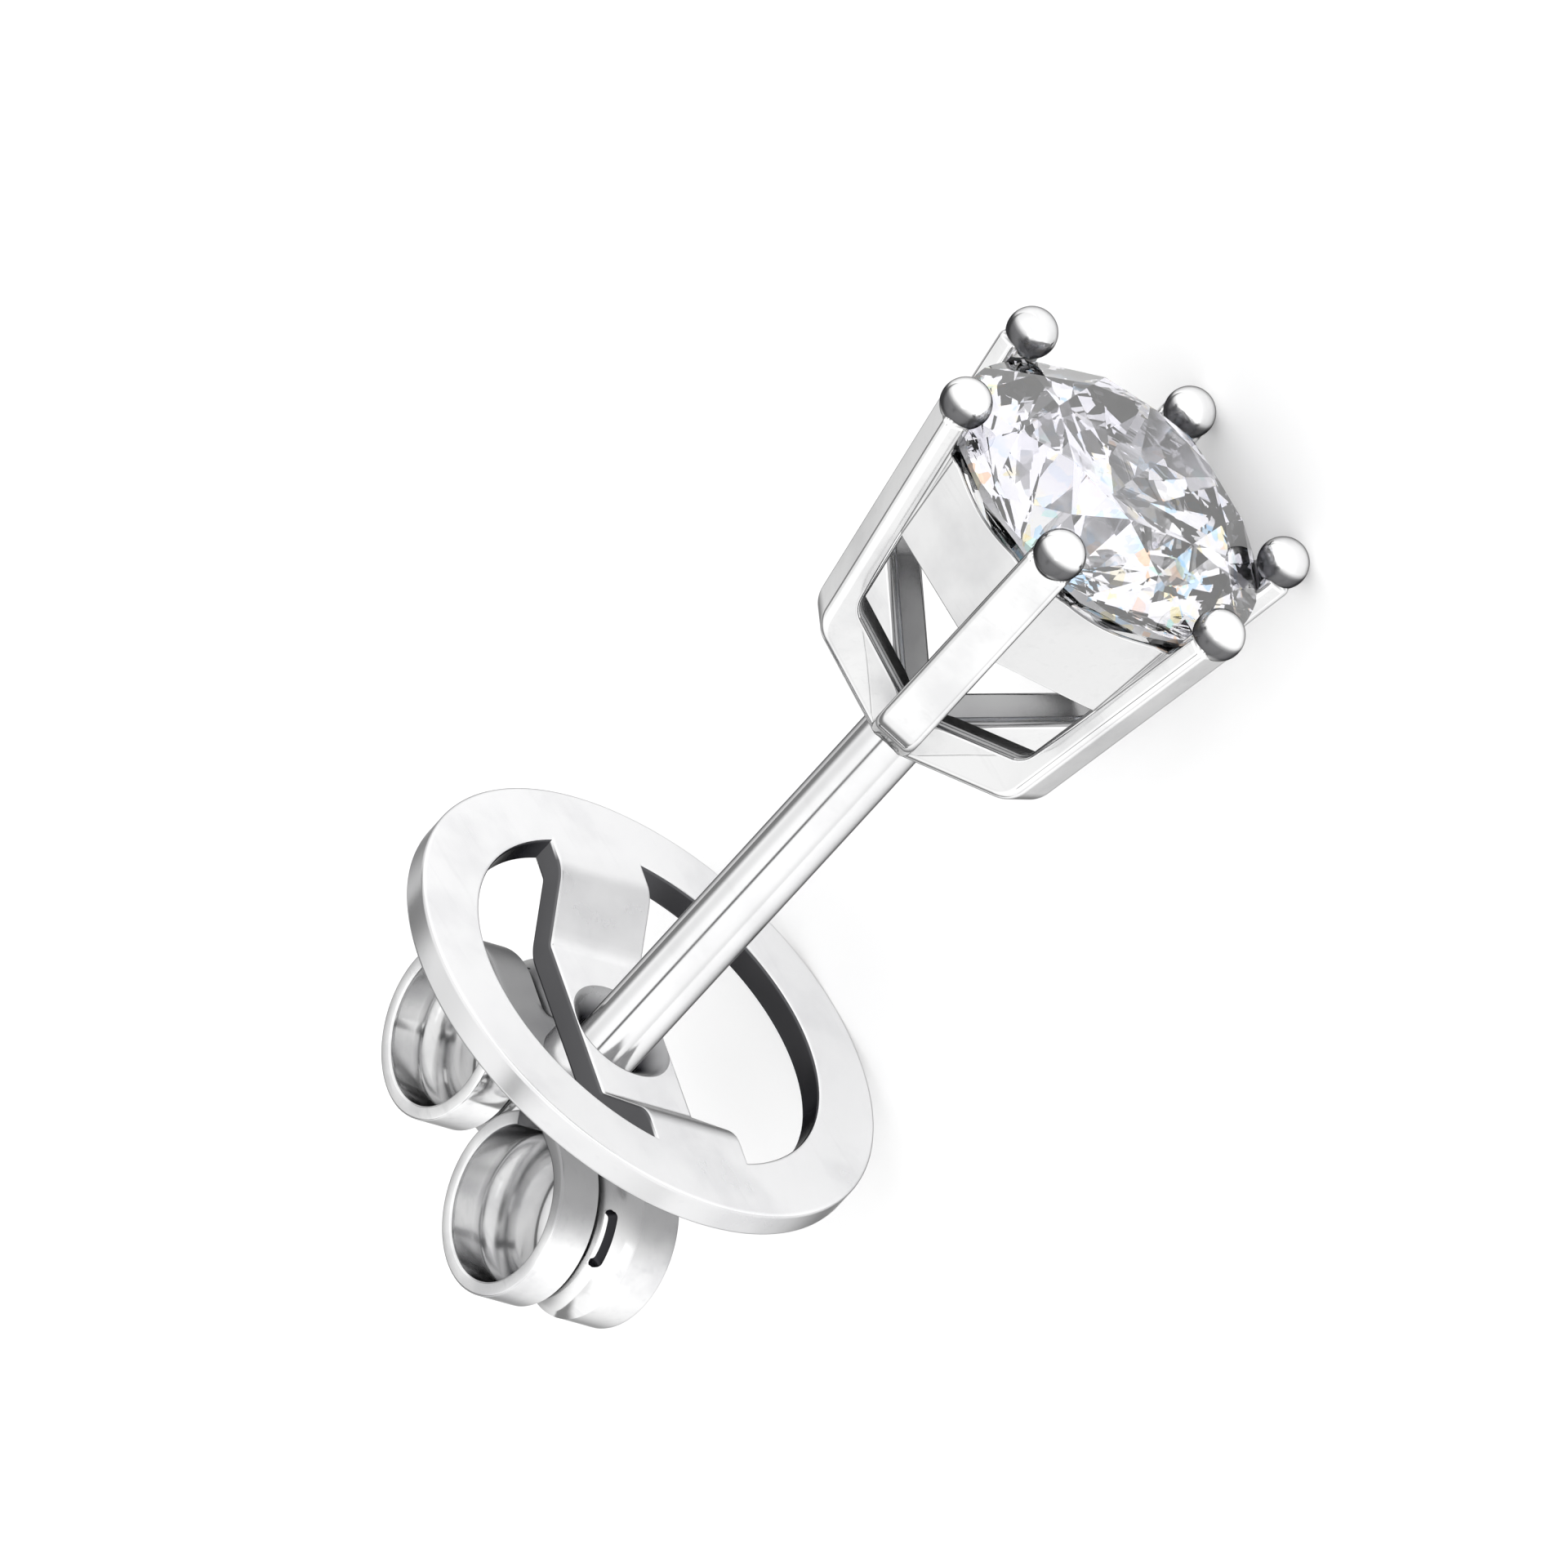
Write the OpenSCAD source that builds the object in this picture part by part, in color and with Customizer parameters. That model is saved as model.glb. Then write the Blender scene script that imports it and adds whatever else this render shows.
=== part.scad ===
// Six-claw solitaire ear stud with a round brilliant and a disc-and-scroll ear back.
// Millimetres. Each piece is drawn on the stud's own axis: z = 0 is the underside of the
// head, +z points out through the stone's table, and y points up from the surface that the
// stud lies on. lie_down() then lays it on its lowest two claws and the disc's rim.

/* [Stone] */
// Diameter of the stone at its girdle
stone_d = 5.2; // [4.6:0.1:5.4]
// Width of the table as a share of the diameter
table_share = 0.57; // [0.53:0.01:0.62]
// Slope of the eight crown main facets, in degrees
crown_angle = 34.5; // [32:0.5:36]
// Slope of the eight pavilion main facets, in degrees
pavilion_angle = 40.8; // [40:0.2:41.6]
// Reach of a star facet from the table's edge towards the girdle, as a share
star_share = 0.52; // [0.45:0.01:0.58]
// Reach of a lower half facet from the girdle towards the culet, as a share
lower_half_share = 0.77; // [0.7:0.01:0.82]
// Thickness of the girdle at the tips of the main facets
girdle_h = 0.16; // [0.12:0.02:0.2]

/* [Claws] */
// Distance of the ball tips' centres from the axis
tip_orbit = 2.8; // [2.76:0.02:2.86]
// Radius of a ball tip
tip_r = 0.38; // [0.36:0.01:0.42]
// Height of the ball tips' centres above the underside of the head
tip_z = 5.5; // [5.3:0.1:6]
// Distance of a claw's outer face from the axis, at the height of the ball tips
claw_reach = 3.08; // [3.04:0.01:3.12]
// Lean of the claws away from the axis, in degrees
claw_lean = 10; // [7:0.5:11]
// Thickness of a claw towards the axis
claw_t = 0.42; // [0.38:0.02:0.46]
// Width of a claw
claw_w = 0.72; // [0.62:0.02:0.76]
// Depth of the arms under the head
arm_t = 0.72; // [0.6:0.02:0.8]
// Slope of the arms under the head, in degrees
arm_slope = 32.6; // [28:0.2:36]
// Radius round the outside of the elbow
elbow_r = 0.68; // [0.6:0.01:0.8]
// Radius in the inner corner of the elbow
inner_elbow_r = 0.5; // [0.3:0.05:0.6]

/* [Gallery rail] */
// Distance of the rail's six outer faces from the axis, at its upper edge
rail_reach = 2.38; // [2.34:0.01:2.42]
// Lean of the rail's six faces away from the axis, in degrees
rail_lean = 6; // [5:0.5:8]
// Thickness of the rail
rail_t = 0.42; // [0.3:0.02:0.5]
// Height of the rail
rail_h = 1.6; // [1.3:0.05:1.7]
// Drop of the rail's upper edge below the stone's girdle
rail_drop = 0.15; // [0.1:0.01:0.2]

/* [Post] */
// Diameter of the post
post_d = 1.0; // [0.8:0.05:1.0]
// Length of the post from the underside of the head to its tip
post_len = 10.1; // [9.6:0.1:11.5]
// Bare post between the head and the ear back's face, where the ear lobe sits
lobe_gap = 6.1; // [5:0.1:6.1]

/* [Ear back disc] */
// Outer diameter of the disc
disc_d = 8.0; // [7.4:0.1:9]
// Width of the disc's rim
rim_w = 1.0; // [0.8:0.05:1.1]
// Thickness of the disc and its bridge
sheet_t = 0.45; // [0.4:0.01:0.5]
// Radius along the rim's edges
rim_edge_r = 0.06; // [0.04:0.01:0.1]
// Width of the bridge across the disc
bridge_w = 1.7; // [1.6:0.05:1.8]
// Drop of the bridge's flat middle below the disc's face
bridge_drop = 0.7; // [0.6:0.05:0.8]
// Where the bridge leaves the disc's plane, from the axis
bridge_bend = 2.52; // [2.4:0.02:2.7]
// Radius of the bridge's four bends on its middle line
bend_r = 0.35; // [0.3:0.05:0.45]
// Slope of the bridge between its bends, in degrees
bend_slope = 38; // [32:1:44]
// Angle of the bridge about the axis, in degrees
bridge_turn = -16; // [-40:1:40]

/* [Ear back scrolls] */
// Thickness of the scroll strip
strip_t = 0.22; // [0.18:0.01:0.26]
// Width of the scroll strip
strip_w = 2.2; // [1.9:0.1:2.4]
// Outer radius of a scroll
scroll_r = 1.38; // [1.35:0.01:1.42]
// Distance of a scroll's centre from the post's axis
scroll_reach = 1.7; // [1.68:0.01:1.76]
// Depth of the scrolls' centres behind the disc's face
scroll_depth = 3.0; // [2.95:0.05:3.1]
// Angle through which a scroll is rolled, in degrees
roll_angle = 312; // [290:1:314]
// Width of the slot in a scroll's groove
slot_w = 0.24; // [0.2:0.02:0.36]

/* [Hidden] */
$fn = 64;

// Clearance of a running fit, such as the ear back's hole on the post
run_gap = 0.03;
// Clearance between a piece and its seat
seat_gap = 0.03;
// Clearance between the scroll strip and the eyelet that holds it
eyelet_gap = 0.02;
// Overlap that fuses two volumes of one piece
fuse = 0.05;

// Number of claws, and of main facets on each side of the stone
claws = 6;
mains = 8;
// Points of the round girdle between two neighbouring tips of the half facets
girdle_steps = 4;

// Stone levels
stone_r = stone_d / 2;
table_r = stone_r * table_share;
half_turn = 180 / mains;
crown_h = (stone_r - table_r) * tan(crown_angle);
pavilion_h = stone_r * tan(pavilion_angle);
// The balls close over the crown's edge: the girdle's upper edge lies this far under their centres
tip_hold = 0.35;
girdle_top_z = tip_z - tip_hold;
girdle_low_z = girdle_top_z - girdle_h;
table_z = girdle_top_z + crown_h;
culet_z = girdle_low_z - pavilion_h;
star_r = table_r * cos(half_turn) + star_share * (stone_r - table_r * cos(half_turn));
star_z = table_z - (star_r * cos(half_turn) - table_r) * tan(crown_angle);
lower_r = stone_r * (1 - lower_half_share);
lower_z = culet_z + lower_r * cos(half_turn) * tan(pavilion_angle);

// Claw's side view: down, round the elbow, then along the arm to the axis
post_r = post_d / 2;
claw_mid = claw_reach - claw_t / 2 / cos(claw_lean);
elbow_turn = 90 - arm_slope - claw_lean;
// The claw's upright ends this far under the ball tip's centre
under_tip = 0.12;
rail_top_z = girdle_low_z - rail_drop;
// The post runs this far into the arms
post_root = 0.25;

// Ear back levels
disc_r = disc_d / 2;
disc_z = -lobe_gap;
bore_r = post_r + run_gap;
strip_front = scroll_depth - scroll_r;
eyelet_r = 0.7;
eyelet_shoulder_r = 0.76;
eyelet_flare_r = 0.85;
eyelet_flare_t = 0.12;
cup_r = 0.78;
cup_depth = 0.34;
// The strip's groove follows the post where the scrolls grip it
groove_r = bore_r;

// Resting place: the tilt at which the disc's rim and the two lowest balls touch the surface
tip_low = tip_orbit * cos(180 / claws);
rim_low = disc_r - rim_edge_r;
rim_z = disc_z - rim_edge_r;
lie_span = tip_z - rim_z;
lie_drop = rim_low - tip_low;
lie_tilt = atan2(lie_drop, lie_span)
    - asin((tip_r - rim_edge_r) / norm([lie_drop, lie_span]));
lie_height = rim_low * cos(lie_tilt) + rim_z * sin(lie_tilt) + rim_edge_r;
// The origin is under the middle of the stud's length
front_x = table_z * cos(lie_tilt) + table_r * sin(lie_tilt);
back_x = (disc_z - scroll_depth) * cos(lie_tilt) - scroll_r;
middle_x = (front_x + back_x) / 2;

module lie_down() {
    translate([-middle_x, 0, lie_height])
        rotate([0, lie_tilt, 0])
            rotate([90, 0, 90])
                children();
}

module around(count) {
    for (k = [0 : count - 1])
        rotate([0, 0, 360 / count * k])
            children();
}

// A point at radius r and angle a, at height z
function polar(r, a, z) = [r * cos(a), r * sin(a), z];

// The height at [x, y] of the plane through three points
function plane_z(p, q, s, x, y) =
    let (n = cross(q - p, s - p)) p.z - (n.x * (x - p.x) + n.y * (y - p.y)) / n.z;

// The girdle's edge under one half facet: the facet's plane meets the round girdle
function girdle_edge(inner, a, b, z) =
    let (p = polar(stone_r, a, z), q = polar(stone_r, b, z))
    [for (i = [0 : girdle_steps - 1])
        let (c = a + (b - a) * i / girdle_steps, g = polar(stone_r, c, 0))
        [g.x, g.y, plane_z(inner, p, q, g.x, g.y)]];

module stone_body() {
    halves = 2 * mains;
    around_n = halves * girdle_steps;
    table = [for (k = [0 : mains - 1]) polar(table_r, 2 * half_turn * k, table_z)];
    stars = [for (k = [0 : mains - 1]) polar(star_r, half_turn * (2 * k + 1), star_z)];
    lowers = [for (k = [0 : mains - 1]) polar(lower_r, half_turn * (2 * k + 1), lower_z)];
    top_edge = [for (h = [0 : halves - 1])
        each girdle_edge(stars[floor(h / 2)], half_turn * h, half_turn * (h + 1), girdle_top_z)];
    low_edge = [for (h = [0 : halves - 1])
        each girdle_edge(lowers[floor(h / 2)], half_turn * h, half_turn * (h + 1), girdle_low_z)];
    points = concat(table, stars, top_edge, low_edge, lowers, [[0, 0, culet_z]]);
    // The first number of each group of points
    s0 = mains;
    t0 = 2 * mains;
    b0 = t0 + around_n;
    l0 = b0 + around_n;
    culet = l0 + mains;
    m = mains;
    g = girdle_steps;
    faces = concat(
        [[for (k = [m - 1 : -1 : 0]) k]],
        [for (k = [0 : m - 1]) [k, (k + 1) % m, s0 + k]],
        [for (k = [0 : m - 1]) [k, s0 + k, t0 + 2 * g * k, s0 + (k + m - 1) % m]],
        [for (h = [0 : halves - 1])
            [s0 + floor(h / 2),
             for (i = [g : -1 : 0]) t0 + (g * h + i) % around_n]],
        [for (i = [0 : around_n - 1])
            let (j = (i + 1) % around_n) [t0 + i, t0 + j, b0 + j, b0 + i]],
        [for (h = [0 : halves - 1])
            [for (i = [0 : g]) b0 + (g * h + i) % around_n, l0 + floor(h / 2)]],
        [for (k = [0 : m - 1]) [l0 + k, culet, l0 + (k + m - 1) % m, b0 + 2 * g * k]]
    );
    polyhedron(points, faces);
}

module stone() {
    color("aliceblue")
        lie_down()
            stone_body();
}

// The room that the stone needs in its setting, round and with the seat's clearance
module stone_room() {
    drop = seat_gap / cos(pavilion_angle);
    rise = seat_gap / cos(crown_angle);
    rotate([0, 0, 15])
        rotate_extrude()
            polygon([
                [0, culet_z - drop],
                [stone_r + seat_gap, girdle_low_z - drop],
                [stone_r + seat_gap, girdle_top_z + seat_gap],
                [star_r, star_z + rise],
                [0, star_z + rise]
            ]);
}

// One edge of a claw's side view, from its top round the elbow to the axis. The edge runs
// this far inside the upright's outer face and above the arm's underside.
function claw_edge(in_claw, in_arm, radius) =
    let (
        steps = 8,
        side = claw_t / 2 - in_claw,
        top = [claw_mid - under_tip * sin(claw_lean), tip_z - under_tip * cos(claw_lean)],
        // Where the straight lines of the upright and of the arm cross, and the bend's centre
        foot = claw_reach - in_claw / cos(claw_lean) - tip_z * tan(claw_lean),
        cross_z = ((foot - post_r) * tan(arm_slope) + in_arm / cos(arm_slope))
            / (1 - tan(claw_lean) * tan(arm_slope)),
        cross_x = foot + cross_z * tan(claw_lean),
        cut = radius * tan(elbow_turn / 2),
        centre = [
            cross_x + cut * sin(claw_lean) - radius * cos(claw_lean),
            cross_z + cut * cos(claw_lean) + radius * sin(claw_lean)
        ]
    )
    concat(
        [top + side * [cos(claw_lean), -sin(claw_lean)]],
        [for (i = [0 : steps])
            let (a = -claw_lean - elbow_turn * i / steps)
            centre + radius * [cos(a), sin(a)]],
        [[0, in_arm / cos(arm_slope) - post_r * tan(arm_slope)]]
    );

// One claw in the plane y = 0: ball tip, upright, elbow, and arm to the axis
module claw() {
    inner = claw_edge(claw_t, arm_t, inner_elbow_r);
    translate([tip_orbit, 0, tip_z])
        sphere(tip_r);
    rotate([90, 0, 0])
        linear_extrude(claw_w, center = true)
            polygon(concat(
                claw_edge(0, 0, elbow_r),
                [for (i = [len(inner) - 1 : -1 : 0]) inner[i]]
            ));
}

// The six-sided rail that joins the claws under the stone
module gallery_rail() {
    over = 0.3;
    low_reach = rail_reach - rail_h * tan(rail_lean);
    high_reach = rail_reach + over * tan(rail_lean);
    // Each side ends inside the two claws that it joins
    side_len = 2 * rail_reach * tan(180 / claws) - 0.05;
    difference() {
        rotate([0, 0, 180 / claws])
            around(claws)
                rotate([90, 0, 0])
                    linear_extrude(side_len, center = true)
                        polygon([
                            [low_reach - rail_t, rail_top_z - rail_h],
                            [low_reach, rail_top_z - rail_h],
                            [high_reach, rail_top_z + over],
                            [high_reach - rail_t, rail_top_z + over]
                        ]);
        // One flat cut levels all the sides' tops
        translate([-stone_d, -stone_d, rail_top_z])
            cube([2 * stone_d, 2 * stone_d, 2 * over]);
    }
}

// The post, with a rounded tip
module post() {
    tip_dome = 0.6;
    dome_h = tip_dome - sqrt(tip_dome * tip_dome - post_r * post_r);
    translate([0, 0, dome_h - post_len])
        cylinder(r = post_r, h = post_len - dome_h + post_root);
    intersection() {
        translate([0, 0, tip_dome - post_len])
            sphere(tip_dome);
        translate([0, 0, -post_len])
            cylinder(r = post_r, h = dome_h + fuse);
    }
}

module setting() {
    color("silver")
        lie_down()
            difference() {
                union() {
                    around(claws) claw();
                    gallery_rail();
                    post();
                }
                stone_room();
            }
}

// The disc's rim: a flat washer with eased edges
module rim() {
    mid = disc_r - rim_w / 2;
    flat_w = rim_w - 2 * rim_edge_r;
    flat_t = sheet_t - 2 * rim_edge_r;
    rotate_extrude()
        translate([mid, -sheet_t / 2]) {
            square([rim_w, flat_t], center = true);
            square([flat_w, sheet_t], center = true);
            for (x = [-1, 1], y = [-1, 1])
                translate([x * flat_w / 2, y * flat_t / 2])
                    circle(rim_edge_r);
        }
}

// Half of the bridge's side view: a strip from the rim, down its slope and in to the axis.
// It is drawn in x from the axis outwards and y from the disc's face, with round bends.
module bridge_side() {
    steps = 8;
    fall = 2 * bend_r * (1 - cos(bend_slope));
    slope_len = (bridge_drop - fall) / sin(bend_slope);
    upper = [bridge_bend, -sheet_t / 2 - bend_r];
    mid_x = bridge_bend - 2 * bend_r * sin(bend_slope) - slope_len * cos(bend_slope);
    lower = [mid_x, -sheet_t / 2 - bridge_drop + bend_r];
    side = function (half) concat(
        [[disc_r - rim_w / 2, half - sheet_t / 2]],
        [for (i = [0 : steps])
            upper + (bend_r + half) * [-sin(bend_slope * i / steps), cos(bend_slope * i / steps)]],
        [for (i = [steps : -1 : 0])
            lower - (bend_r - half) * [-sin(bend_slope * i / steps), cos(bend_slope * i / steps)]],
        [[-fuse, half - sheet_t / 2 - bridge_drop]]
    );
    back = side(-sheet_t / 2);
    polygon(concat(side(sheet_t / 2), [for (i = [len(back) - 1 : -1 : 0]) back[i]]));
}

// The bridge, with the cup and the eyelet that take the post and hold the scroll strip
module bridge() {
    mid_front = -bridge_drop;
    mid_back = -bridge_drop - sheet_t;
    strip_back = -strip_front - strip_t;
    rotate([90, 0, 0])
        linear_extrude(bridge_w, center = true) {
            bridge_side();
            mirror([1, 0]) bridge_side();
        }
    shoulder_z = -strip_front + eyelet_gap;
    translate([0, 0, shoulder_z])
        cylinder(r = eyelet_shoulder_r, h = mid_back - shoulder_z + fuse);
    flare_z = strip_back - eyelet_gap;
    translate([0, 0, flare_z - fuse])
        cylinder(r = eyelet_r - eyelet_gap, h = mid_back - flare_z + 2 * fuse);
    translate([0, 0, flare_z - eyelet_flare_t])
        cylinder(r = eyelet_flare_r, h = eyelet_flare_t);
}

module back_disc() {
    hole_len = scroll_depth;
    color("silver")
        lie_down()
            translate([0, 0, disc_z])
                rotate([0, 0, bridge_turn])
                    difference() {
                        union() {
                            rim();
                            bridge();
                        }
                        translate([0, 0, -hole_len])
                            cylinder(r = bore_r, h = hole_len);
                        translate([0, 0, -bridge_drop - cup_depth])
                            cylinder(r1 = bore_r, r2 = cup_r, h = cup_depth);
                        translate([0, 0, -bridge_drop])
                            cylinder(r = cup_r, h = bridge_drop);
                    }
}

// The scroll strip's cross-section, x outwards from the scroll's centre and y across,
// with the groove that the post sits in
module strip_section() {
    groove_x = scroll_reach;
    difference() {
        union() {
            translate([scroll_r - strip_t, -strip_w / 2])
                square([strip_t, strip_w]);
            intersection() {
                translate([groove_x, 0])
                    circle(groove_r + strip_t);
                translate([0, -strip_w / 2])
                    square([scroll_r, strip_w]);
            }
        }
        translate([groove_x, 0])
            circle(groove_r);
    }
}

// One scroll about its own centre: its start lies in the strip's plane, towards +x is outwards
module scroll() {
    slot_from = 18;
    slot_to = 52;
    slot_deep = 0.6;
    rotate([90, 0, 0])
        difference() {
            rotate([0, 0, 90 - roll_angle])
                rotate_extrude(angle = roll_angle)
                    strip_section();
            rotate([0, 0, slot_from])
                rotate_extrude(angle = slot_to - slot_from)
                    translate([scroll_r - slot_deep, -slot_w / 2])
                        square([2 * slot_deep, slot_w]);
            for (a = [slot_from, slot_to])
                rotate([0, 0, a])
                    translate([scroll_r - slot_deep, 0, 0])
                        rotate([0, 90, 0])
                            cylinder(r = slot_w / 2, h = 2 * slot_deep);
        }
}

// Half of the strip's straight middle, from the axis out to the scroll
module strip_half() {
    plain = eyelet_flare_r + 0.1;
    translate([-fuse, -strip_w / 2, scroll_r - strip_t])
        cube([plain + fuse, strip_w, strip_t]);
    translate([plain, 0, 0])
        rotate([90, 0, 90])
            linear_extrude(scroll_reach - plain)
                rotate([0, 0, 90])
                    strip_section();
}

module back_scrolls() {
    color("gainsboro")
        lie_down()
            translate([0, 0, disc_z - scroll_depth])
                rotate([0, 0, bridge_turn])
                    difference() {
                        around(2) {
                            translate([scroll_reach, 0, 0]) scroll();
                            strip_half();
                        }
                        cylinder(r = eyelet_r, h = scroll_r + strip_t);
                    }
}

setting();
stone();
back_disc();
back_scrolls();
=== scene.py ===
import cmath
import math

import bmesh
import bpy
from mathutils import Matrix, Vector


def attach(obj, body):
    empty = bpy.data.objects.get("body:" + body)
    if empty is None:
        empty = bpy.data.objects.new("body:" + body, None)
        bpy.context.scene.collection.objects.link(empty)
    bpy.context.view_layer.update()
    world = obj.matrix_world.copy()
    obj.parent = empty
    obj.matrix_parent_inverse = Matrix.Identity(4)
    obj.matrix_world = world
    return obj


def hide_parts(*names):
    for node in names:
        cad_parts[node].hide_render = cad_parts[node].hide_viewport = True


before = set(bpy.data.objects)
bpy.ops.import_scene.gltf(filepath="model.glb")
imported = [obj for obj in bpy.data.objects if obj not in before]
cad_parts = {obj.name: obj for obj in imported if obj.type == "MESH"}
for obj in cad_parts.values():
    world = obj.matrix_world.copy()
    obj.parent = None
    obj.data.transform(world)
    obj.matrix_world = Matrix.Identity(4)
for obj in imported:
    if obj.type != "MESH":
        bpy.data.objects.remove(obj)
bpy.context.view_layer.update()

# Claws: six flat wires of white gold that lean out to hold the stone. Each is bent at an
# elbow, runs in under the head to the post, and ends in a ball that is melted over the
# stone's edge. The inner side has a small notch for the girdle.
claw_count = 6
claw_lean = math.radians(10)
arm_slope = math.radians(32.6)
claw_t = 0.42
claw_w = 0.72
claw_edge = 0.13
claw_reach = 3.08
arm_t = 0.72
elbow_r = 0.68
inner_elbow_r = 0.5
elbow_steps = 14
foot_past = 0.1
tip_orbit = 2.8
tip_r = 0.38
tip_z = 5.5
tip_cover = 0.12
post_r = 0.5
stone_r = 2.6
girdle_top_z = 5.15
girdle_low_z = 4.99
pavilion_slope = math.radians(40.8)
seat_gap = 0.03
round_steps = 96

# The stud is drawn in millimetres on its own axis, with z out through the stone, and is
# then laid on its two lowest balls and on the rim of its ear back.
lying_place = (2.19709, 0, 3.35229)
lying_tilt = math.radians(5.844146)
lie_down = (
    Matrix.Scale(0.001, 4)
    @ Matrix.Translation(lying_place)
    @ Matrix.Rotation(lying_tilt, 4, "Y")
    @ Matrix(((0, 0, 1, 0), (1, 0, 0, 0), (0, 1, 0, 0), (0, 0, 0, 1)))
)


def add(tree, kind, inputs=None, **settings):
    """One node of a tree. Its inputs are given as values or as sockets to link from."""
    made = tree.nodes.new(kind)
    for key, value in settings.items():
        setattr(made, key, value)
    for key, value in (inputs or {}).items():
        if isinstance(value, bpy.types.NodeSocket):
            tree.links.new(value, made.inputs[key])
        else:
            made.inputs[key].default_value = value
    return made


def reckon(tree, operation, *values):
    """The outcome of a sum of numbers, each given as a value or as a socket."""
    return add(tree, "ShaderNodeMath", dict(enumerate(values)), operation=operation).outputs[0]


def blended(tree, share, first, second):
    """A colour between two others, which are sockets 6 and 7 of a Mix node."""
    return add(tree, "ShaderNodeMix", {
        "Factor": share, 6: first, 7: second,
    }, data_type="RGBA").outputs[2]


def new_group(name, kind, inputs, outputs):
    """An empty node group with named sockets, and its input and output nodes."""
    tree = bpy.data.node_groups.new(name, kind)
    for label, socket, value in inputs:
        made = tree.interface.new_socket(label, in_out="INPUT", socket_type=socket)
        if value is not None:
            made.default_value = value
    for label, socket in outputs:
        tree.interface.new_socket(label, in_out="OUTPUT", socket_type=socket)
    return tree, tree.nodes.new("NodeGroupInput").outputs, tree.nodes.new("NodeGroupOutput").inputs


def polish_group():
    """Polished metal seen close: cloudy places in the polish, fine parallel hairlines, and painted
    shade.
    """
    tree, given, result = new_group(
        "polish",
        "ShaderNodeTree",
        [
            ("Place", "NodeSocketVector", None),
            ("Metal", "NodeSocketColor", (0.9, 0.9, 0.9, 1)),
            ("Cloud", "NodeSocketColor", (0.8, 0.8, 0.8, 1)),
            ("Bright", "NodeSocketFloat", 0.04),
            ("Dull", "NodeSocketFloat", 0.12),
            ("Cloud scale", "NodeSocketFloat", 700.0),
            ("Hairline scale", "NodeSocketFloat", 9000.0),
            ("Wave", "NodeSocketFloat", 0.0),
            ("Raw", "NodeSocketFloat", 0.0),
            ("Painted shade metal", "NodeSocketColor", (0.05, 0.05, 0.055, 1)),
            ("Painted shade roughness", "NodeSocketFloat", 0.3),
        ],
        [
            ("Color", "NodeSocketColor"),
            ("Roughness", "NodeSocketFloat"),
            ("Height", "NodeSocketFloat"),
        ],
    )
    clouds = add(tree, "ShaderNodeTexNoise", {
        "Vector": given["Place"], "Scale": given["Cloud scale"], "Detail": 4.0,
    })
    stretched = add(tree, "ShaderNodeVectorMath", {
        0: given["Place"], 1: (1.0, 0.06, 1.0),
    }, operation="MULTIPLY")
    lines = add(tree, "ShaderNodeTexNoise", {
        "Vector": stretched.outputs[0], "Scale": given["Hairline scale"], "Detail": 2.0,
    })
    cloudy = add(tree, "ShaderNodeMapRange", {
        "Value": clouds.outputs["Fac"], "From Min": 0.42, "From Max": 0.72,
    }, interpolation_type="SMOOTHSTEP")
    lined = add(tree, "ShaderNodeMapRange", {
        "Value": lines.outputs["Fac"], "From Min": 0.58, "From Max": 0.72, "To Max": 0.2,
    })
    both = add(tree, "ShaderNodeMath", {
        0: cloudy.outputs[0], 1: lined.outputs[0],
    }, operation="ADD", use_clamp=True)
    rough = add(tree, "ShaderNodeMapRange", {
        "Value": both.outputs[0], "To Min": given["Bright"], "To Max": given["Dull"],
    })
    tone = blended(tree, both.outputs[0], given["Metal"], given["Cloud"])
    # Painted shade: the shade input turns the colour towards near-black metal and sets its
    # roughness, standing in for shade and dark reflections
    painted_shade_tone = blended(tree, given["Raw"], tone, given["Painted shade metal"])
    # Sockets 2 and 3 of a Mix node are its two numbers
    painted_shade_rough = add(tree, "ShaderNodeMix", {
        "Factor": given["Raw"], 2: rough.outputs[0], 3: given["Painted shade roughness"],
    })
    tree.links.new(painted_shade_tone, result["Color"])
    tree.links.new(painted_shade_rough.outputs[0], result["Roughness"])
    # The wheel also leaves the faces a little wavy
    swell = add(tree, "ShaderNodeTexNoise", {
        "Vector": given["Place"], "Scale": 320.0, "Detail": 0.0,
    })
    height = reckon(tree, "MULTIPLY_ADD", swell.outputs["Fac"], given["Wave"], lines.outputs["Fac"])
    tree.links.new(height, result["Height"])
    return tree


polish = polish_group()


def white_gold(name, metal, cloud, bright, dull, hairline_depth, wave, rim_tone):
    """Rhodium-plated white gold with its own degree of polish."""
    material = bpy.data.materials.new(name)
    material.use_nodes = True
    tree = material.node_tree
    shader = tree.nodes["Principled BSDF"]
    place = add(tree, "ShaderNodeTexCoord")
    # Painted shade, set on the faces when each piece is laid down
    painted_shade = add(tree, "ShaderNodeAttribute", attribute_name="painted_shade")
    finish = add(tree, "ShaderNodeGroup", {
        "Place": place.outputs["Object"],
        "Raw": painted_shade.outputs["Fac"],
        "Metal": metal,
        "Cloud": cloud,
        "Bright": bright,
        "Dull": dull,
        "Wave": wave,
    }, node_tree=polish)
    bump = add(tree, "ShaderNodeBump", {
        "Height": finish.outputs["Height"], "Strength": 0.3, "Distance": hairline_depth,
    })
    tree.links.new(finish.outputs["Color"], shader.inputs["Base Color"])
    tree.links.new(finish.outputs["Roughness"], shader.inputs["Roughness"])
    tree.links.new(bump.outputs[0], shader.inputs["Normal"])
    shader.inputs["Metallic"].default_value = 1.0
    shader.inputs["Specular Tint"].default_value = (rim_tone, rim_tone, rim_tone, 1)
    return material


def plain_piece(piece):
    """Turns a piece and its modifiers into plain mesh."""
    graph = bpy.context.evaluated_depsgraph_get()
    mesh = bpy.data.meshes.new_from_object(piece.evaluated_get(graph))
    piece.modifiers.clear()
    piece.data = mesh
    return piece


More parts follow.
